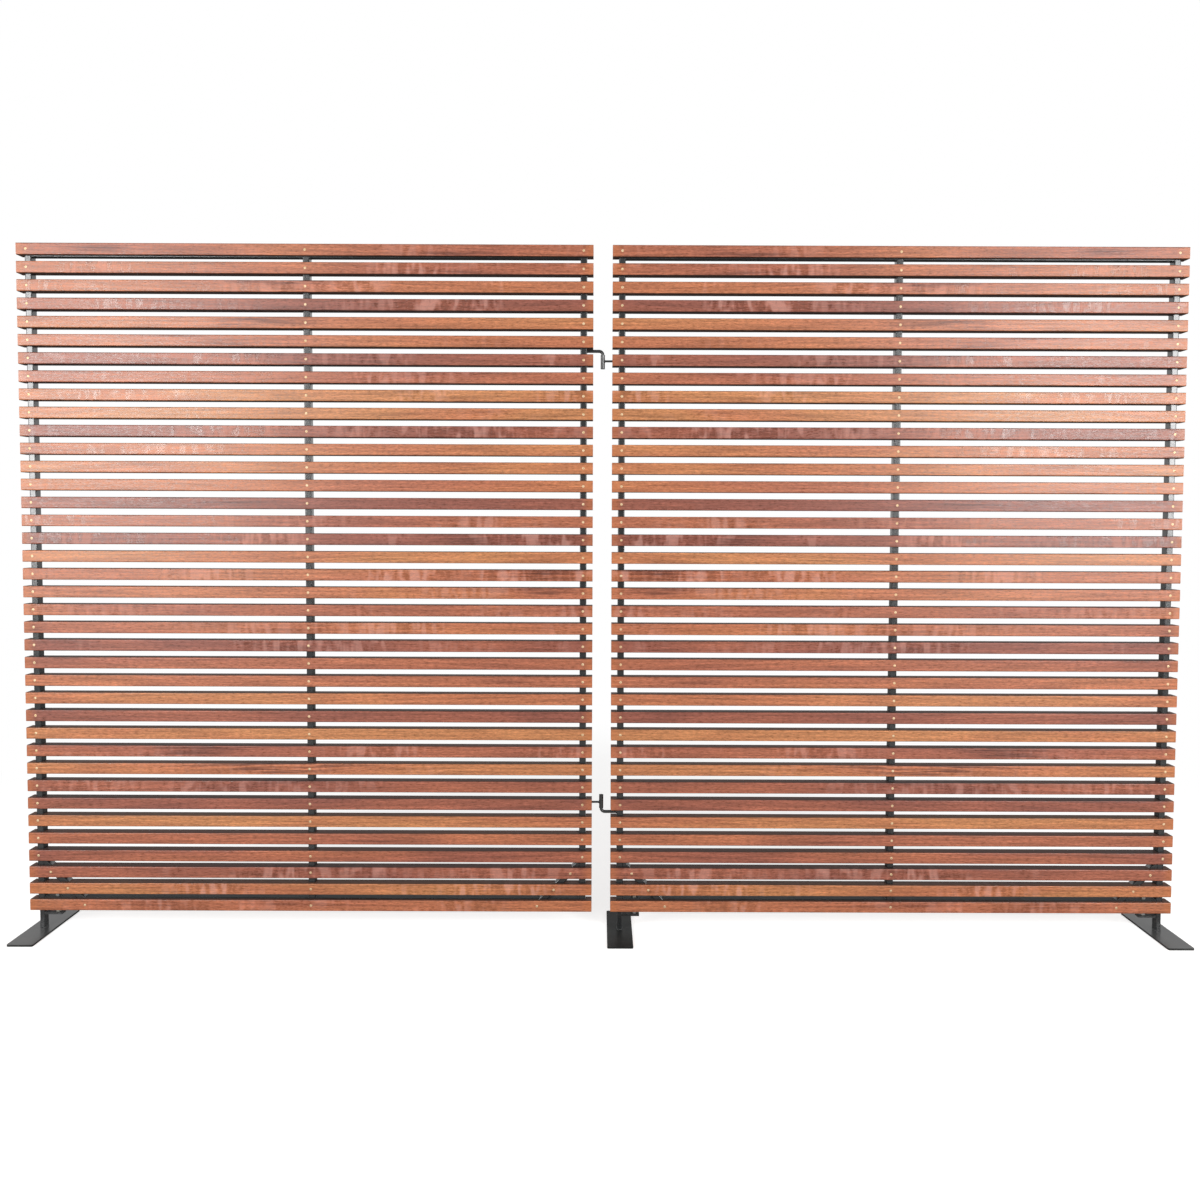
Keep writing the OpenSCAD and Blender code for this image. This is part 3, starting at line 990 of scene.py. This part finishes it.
@dataclass
class Weld:
    """A run of weld, laid ripple over ripple and coated with the frame."""

    radius: float = 1.7 * MM
    step: float = 1.9 * MM
    length_share: float = 0.95
    steep_share: float = 0.4
    steep_shift: float = 0.25
    size_range: tuple[float, float] = (0.88, 1.08)
    seed: int = 7
    sharp_degrees: float = 60.0
    _ripple: Optional[Object] = None
    _runs: list[Object] = field(default_factory=list)

    def pattern(self) -> Object:
        """Models one ripple, steeper behind than in front.

        Returns:
            The ripple, along X.
        """
        put_down()
        bpy.ops.mesh.primitive_uv_sphere_add(segments=8, ring_count=5, radius=1, location=(0, 0, 0))
        ripple = bpy.context.active_object
        ripple.scale = (self.length_share * self.step, self.radius, self.radius)
        settle(ripple)
        choose_faces(ripple, lambda face: face.center.x > self.steep_share * self.step)
        bpy.ops.transform.translate(value=(self.steep_shift * self.step, 0, 0))
        finish_edit()
        return ripple

    def run(self, points: Sequence[Vector]) -> None:
        """Lays ripples along a line of points.

        Args:
            points: The corners of the line.
        """
        if self._ripple is None:
            self._ripple = self.pattern()
        dice = random.Random(self.seed + len(self._runs))
        for start, end in zip(points, points[1:]):
            way = end - start
            count = max(1, round(way.length / self.step))
            turn = way.to_track_quat("X", "Z").to_matrix().to_4x4()
            for number in range(count):
                size = dice.uniform(*self.size_range)
                spot = start + way * ((number + 0.5) / count)
                place = Matrix.Translation(spot) @ turn @ Matrix.Diagonal((1, size, size, 1))
                self._runs.append(copy_of(self._ripple, place))

    def ring(self, centre: Vector, radius: float) -> None:
        """Lays ripples round a level rod that meets a stile or a sleeve.

        Args:
            centre: The middle of the ring.
            radius: The rod's radius.
        """
        around = max(8, round(math.tau * radius / self.step))
        angles = [math.tau * number / around for number in range(around + 1)]
        self.run([
            centre + Vector((0, math.cos(angle) * radius, math.sin(angle) * radius))
            for angle in angles
        ])

    def finish(self, name: str, body: str) -> None:
        """Joins all that was laid into one piece and hands it over.

        Args:
            name: The piece's name.
            body: The body that carries it.
        """
        piece = join(self._runs, name)
        self._runs = []
        smooth(piece, self.sharp_degrees)
        hand_over(piece, body, Slot.FRAME)

    def clear_away(self) -> None:
        """Removes the loose pattern."""
        if self._ripple is not None:
            bpy.data.objects.remove(self._ripple)
            self._ripple = None


# ---------------- sub-assemblies


@dataclass
class SlatPanel:
    """One panel: its slats, its welded frame and its screws."""

    side: Side
    sizes: ScreenSizes = SIZES
    sunk: float = 0.4 * MM
    seed: int = 19
    weld_reach: float = 12 * MM
    slant_share: float = 0.7

    def build(self, screw: Object, weld: Weld) -> None:
        """Dresses the panel's nodes, drives its screws and welds its frame.

        Args:
            screw: The pattern of a slat screw.
            weld: The weld that is laid.
        """
        self.dress_nodes()
        self.drive_screws(screw)
        self.weld_frame(weld)

    def dress_nodes(self) -> None:
        """Dresses the slats, the tubes, the rails and the plugs."""
        for name, node in frame["nodes"].items():
            if not name.startswith(self.side.word):
                continue
            if "_slats_" in name:
                dress(node, Slot.HARDWOOD)
            elif name.endswith(("_stile", "_rail", "_brace")):
                dress(node, Slot.FRAME)
            elif name.endswith("_plugs"):
                dress(node, Slot.PLASTIC)
            else:
                continue
            LOG.info("%s: dressed", name)

    def drive_screws(self, screw: Object) -> None:
        """Copies the screw to every fixing of the panel, each turned as it happened to stop.

        Args:
            screw: The pattern of a slat screw.
        """
        size = self.sizes
        dice = random.Random(self.seed)
        upright = Euler((math.radians(90), 0, 0)).to_matrix().to_4x4()
        copies = []
        for row in range(size.rows):
            inset = size.end_inset(row)
            for x in (
                size.from_end(self.side, Corner.INNER, inset),
                self.side.value * size.centre,
                size.from_end(self.side, Corner.OUTER, inset),
            ):
                head = Vector((x, size.front + self.sunk, size.row_middle(row)))
                twist = Matrix.Rotation(dice.uniform(0, math.pi / 2), 4, "Z")
                copies.append(copy_of(screw, Matrix.Translation(head) @ upright @ twist))
        screws = join(copies, f"{self.side.word}_driven_screws")
        hand_over(screws, self.side.body, Slot.BRASS, [f"{self.side.word}_slat_screws"])

    def weld_frame(self, weld: Weld) -> None:
        """Welds the rails and the braces to the stiles, across the depth of the tubes.

        Args:
            weld: The weld that is laid.
        """
        size = self.sizes
        bottom = size.ground + size.face + size.rail
        top = size.ground + size.field_height - size.face - size.rail
        slant = size.tube_width * self.slant_share
        rise = size.ground + size.brace_reach - size.stile_face + slant
        reach = size.brace_reach - size.face + slant
        joints = []
        for corner in Corner:
            stile_x = size.from_end(self.side, corner, size.stile_face)
            brace_x = size.from_end(self.side, corner, reach)
            joints += [(stile_x, bottom), (stile_x, top), (brace_x, bottom), (stile_x, rise)]
        for step in (-1, 1):
            middle_x = self.side.value * size.centre + step * size.tube_width / 2
            joints += [(middle_x, bottom), (middle_x, top)]
        for x, z in joints:
            weld.run([Vector((x, -self.weld_reach, z)), Vector((x, self.weld_reach, z))])
        weld.finish(f"{self.side.word}_frame_welds", self.side.body)


@dataclass
class PinHinge:
    """A bent pin on one panel in a sleeve on the other."""

    level: Level
    pin_side: Side
    sizes: ScreenSizes = SIZES

    @property
    def name(self) -> str:
        """The hinge's word in the node names."""
        return self.level.value

    def build(self, weld: Weld) -> None:
        """Dresses the pin, the sleeve and the stem, and welds them to their stiles.

        Args:
            weld: The weld that is laid.
        """
        size = self.sizes
        for part in ("pin", "sleeve", "stem"):
            dress(frame["nodes"][f"{self.name}_hinge_{part}"], Slot.FRAME)
        stile = size.gap / 2 + size.overhang
        low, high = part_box(f"{self.name}_hinge_pin")
        # The upper pin is bent down from its arm, and the lower one up.
        down = self.level is Level.UPPER
        pin_z = high.z - size.rod_radius if down else low.z + size.rod_radius
        weld.ring(Vector((self.pin_side.value * stile, 0, pin_z)), size.rod_radius)
        weld.finish(f"{self.name}_pin_weld", self.pin_side.body)
        other = Side.LEFT if self.pin_side is Side.RIGHT else Side.RIGHT
        low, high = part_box(f"{self.name}_hinge_stem")
        for distance in (stile, size.sleeve_radius):
            centre = Vector((other.value * distance, 0, (low.z + high.z) / 2))
            weld.ring(centre, (high.z - low.z) / 2)
        weld.finish(f"{self.name}_sleeve_welds", other.body)


@dataclass
class LevellingFoot:
    """A flat plate with its post and tab, and the levelling rod that bears on it."""

    word: str
    side: Side
    corner: Corner
    sizes: ScreenSizes = SIZES
    post_corner: float = 2.0 * MM
    tab_reach: float = 10.5 * MM

    def build(self, thread: RodThread, weld: Weld) -> None:
        """Dresses the foot, threads its rod and welds its plate and tab.

        Args:
            thread: The thread of the levelling rod.
            weld: The weld that is laid.
        """
        nodes = frame["nodes"]
        # The inner foot's plate takes the coat whose darker colour is painted shade.
        coat = SHADED_MIDDLE_COAT if self.corner is Corner.INNER else FINISHES[Slot.PLATE]
        dress(nodes[f"{self.word}_foot_plate"], Slot.PLATE, coat)
        for part in ("post", "tab"):
            dress(nodes[f"{self.word}_foot_{part}"], Slot.FRAME)
        for name in (f"{self.word}_foot_nut", f"{self.word}_rail_nuts"):
            dress(nodes[name], Slot.ZINC)
        low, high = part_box(f"{self.word}_foot_bolt")
        rod = thread.build((low.x + high.x) / 2, low.z, high.z, f"{self.word}_threaded_rod")
        hand_over(rod, self.side.body, Slot.ZINC, [f"{self.word}_foot_bolt"])
        self._weld_post(weld)

    def _weld_post(self, weld: Weld) -> None:
        """Lays the weld round the foot of the post and along the tab.

        Args:
            weld: The weld that is laid.
        """
        low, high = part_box(f"{self.word}_foot_post")
        cut = self.post_corner
        loop = (
            (low.x + cut, low.y), (high.x - cut, low.y), (high.x, low.y + cut),
            (high.x, high.y - cut), (high.x - cut, high.y), (low.x + cut, high.y),
            (low.x, high.y - cut), (low.x, low.y + cut), (low.x + cut, low.y),
        )
        weld.run([Vector((x, y, self.sizes.plate)) for x, y in loop])
        tab_low, tab_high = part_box(f"{self.word}_foot_tab")
        post_x = (low.x + high.x) / 2
        edge = min(tab_low.x, tab_high.x, key=lambda x: abs(x - post_x))
        for z in (tab_low.z, tab_high.z):
            weld.run([Vector((edge, -self.tab_reach, z)), Vector((edge, self.tab_reach, z))])
        weld.finish(f"{self.word}_foot_welds", f"{self.word}_foot")


# ---------------- studio


@dataclass
class Studio:
    """The pale floor, the plain backdrop, the soft lamps and the camera.

    The camera's numbers come from fitting it to the photograph's frame of 1200 pixels.
    """

    focal_px: float = 1087.0
    frame_px: float = 1200.0
    axis_row: float = 572.3
    eye: tuple[float, float, float] = (-10.1 * MM, -3.3319, 1.2788)
    pitch_down: float = 2.796
    yaw_right: float = 0.066
    roll: float = 0.205
    floor_size: float = 60.0
    floor_drop: float = 0.3 * MM
    floor_glow: float = 0.64
    glow_ends: tuple[float, float] = (2.2, 3.6)
    lamp_power: float = 114.0
    lamp_size: tuple[float, float] = (1.8, 1.75)
    lamp_place: tuple[float, float, float] = (3.1, -3.45, 1.95)
    lamp_aim: tuple[float, float, float] = (1.2, 0.0, 1.3)
    fill: float = 0.32

    def build(self) -> None:
        """Sets up the whole studio."""
        self._floor()
        self._backdrop()
        for side in Side:
            self._softbox(side)
        self._camera()
        bpy.context.scene.view_settings.view_transform = "Standard"

    def _floor(self) -> None:
        """Lays a pale floor that turns into the white backdrop and keeps the shadow."""
        put_down()
        # A hair below the plates, so a plate that is wound right down still shows its top.
        bpy.ops.mesh.primitive_plane_add(size=self.floor_size, location=(0, 0, -self.floor_drop))
        floor = bpy.context.active_object
        floor.name = "studio_floor"
        material = bpy.data.materials.new("studio_floor_matt_white")
        add = fill_tree(material)
        spot = add("TexCoord").outputs["Object"]
        ray = add("LightPath")
        paper = add("TexNoise", {"Vector": spot, "Scale": 3.0})
        tint = add("ValToRGB", (paper,), ((0.3, "F2F1EF"), (0.7, "F5F5F4")))
        matt = add("BsdfDiffuse", {"Color": tint})
        glow = add("Emission", {"Strength": self.floor_glow})
        near = add("AddShader", (matt, glow))
        white = add("Emission", {"Strength": 1.0})
        distance = add("VectorMath:LENGTH", (spot,))
        far = add("MapRange", (distance, *self.glow_ends), interpolation_type="SMOOTHSTEP")
        seen = add("MixShader", (far, near, white))
        bounce = add("BsdfDiffuse", {"Color": linear("BDBDBB")})
        ground = add("MixShader", (ray.outputs["Is Camera Ray"], bounce, seen))
        add("OutputMaterial", {"Surface": ground})
        floor.data.materials.append(material)

    def _backdrop(self) -> None:
        """Makes the world white where it is seen or mirrored, and a soft fill where it lights.

        A mirror shows the white only behind the screen; the room on the camera's side is dim.
        """
        world = bpy.data.worlds.new("studio_world")
        bpy.context.scene.world = world
        add = fill_tree(world)
        ray = add("LightPath").outputs
        way = add("SeparateXYZ", (add("TexCoord").outputs["Generated"],))
        behind = add("MapRange", (way.outputs["Y"], -0.3, 0.1), interpolation_type="SMOOTHSTEP")
        shown = add("Math:MULTIPLY", (ray["Is Glossy Ray"], behind))
        for kind in ("Is Camera Ray", "Is Transmission Ray"):
            shown = add("Math:MAXIMUM", (shown, ray[kind]))
        strength = add("MapRange", (shown, 0.0, 1.0, self.fill, 1.0))
        sky = add("Background", {"Color": linear("FFFFFF"), "Strength": strength})
        add("OutputWorld", {"Surface": sky})

    def _softbox(self, side: Side) -> None:
        """Stands a large softbox beside the camera, which the outer slats mirror.

        Args:
            side: The panel that it lights.
        """
        lamp = bpy.data.lights.new(f"softbox_{side.word}", "AREA")
        lamp.shape = "RECTANGLE"
        lamp.size, lamp.size_y = self.lamp_size
        lamp.energy = self.lamp_power
        stand = bpy.data.objects.new(lamp.name, lamp)
        bpy.context.scene.collection.objects.link(stand)
        mirror = Matrix.Diagonal((side.value, 1, 1))
        stand.location = mirror @ Vector(self.lamp_place)
        aim = mirror @ Vector(self.lamp_aim) - stand.location
        stand.rotation_euler = aim.to_track_quat("-Z", "Y").to_euler()

    def _camera(self) -> None:
        """Puts the camera where the photograph was taken from."""
        lens = bpy.data.cameras.new("camera")
        lens.sensor_width = 36.0
        lens.sensor_fit = "HORIZONTAL"
        lens.lens = self.focal_px / self.frame_px * lens.sensor_width
        lens.shift_y = (self.axis_row - self.frame_px / 2) / self.frame_px
        lens.clip_start = 0.05
        lens.clip_end = 200.0
        camera = bpy.data.objects.new("camera", lens)
        bpy.context.scene.collection.objects.link(camera)
        camera.matrix_world = (
            Matrix.Translation(self.eye)
            @ Matrix.Rotation(math.radians(-self.yaw_right), 4, "Z")
            @ Matrix.Rotation(math.radians(90 - self.pitch_down), 4, "X")
            @ Matrix.Rotation(math.radians(self.roll), 4, "Z")
        )
        bpy.context.scene.camera = camera


@dataclass
class Screen:
    """The whole screen, built in order."""

    panels: tuple[SlatPanel, ...] = (SlatPanel(Side.LEFT), SlatPanel(Side.RIGHT))
    hinges: tuple[PinHinge, ...] = (
        PinHinge(Level.UPPER, Side.LEFT),
        PinHinge(Level.LOWER, Side.RIGHT),
    )
    feet: tuple[LevellingFoot, ...] = (
        LevellingFoot("left", Side.LEFT, Corner.OUTER),
        LevellingFoot("middle", Side.RIGHT, Corner.INNER),
        LevellingFoot("right", Side.RIGHT, Corner.OUTER),
    )

    def build(self) -> None:
        """Builds the panels, the hinges and the feet."""
        screw = SlatScrew().build()
        weld = Weld()
        thread = RodThread()
        for panel in self.panels:
            panel.build(screw, weld)
        for hinge in self.hinges:
            hinge.build(weld)
        for foot in self.feet:
            foot.build(thread, weld)
        bpy.data.objects.remove(screw)
        weld.clear_away()
        put_down()


def main() -> None:
    """Builds the screen and the studio."""
    logging.basicConfig(level=logging.INFO, format="%(name)s: %(message)s")
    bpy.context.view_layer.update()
    Screen().build()
    Studio().build()


if __name__ == "__main__":
    main()
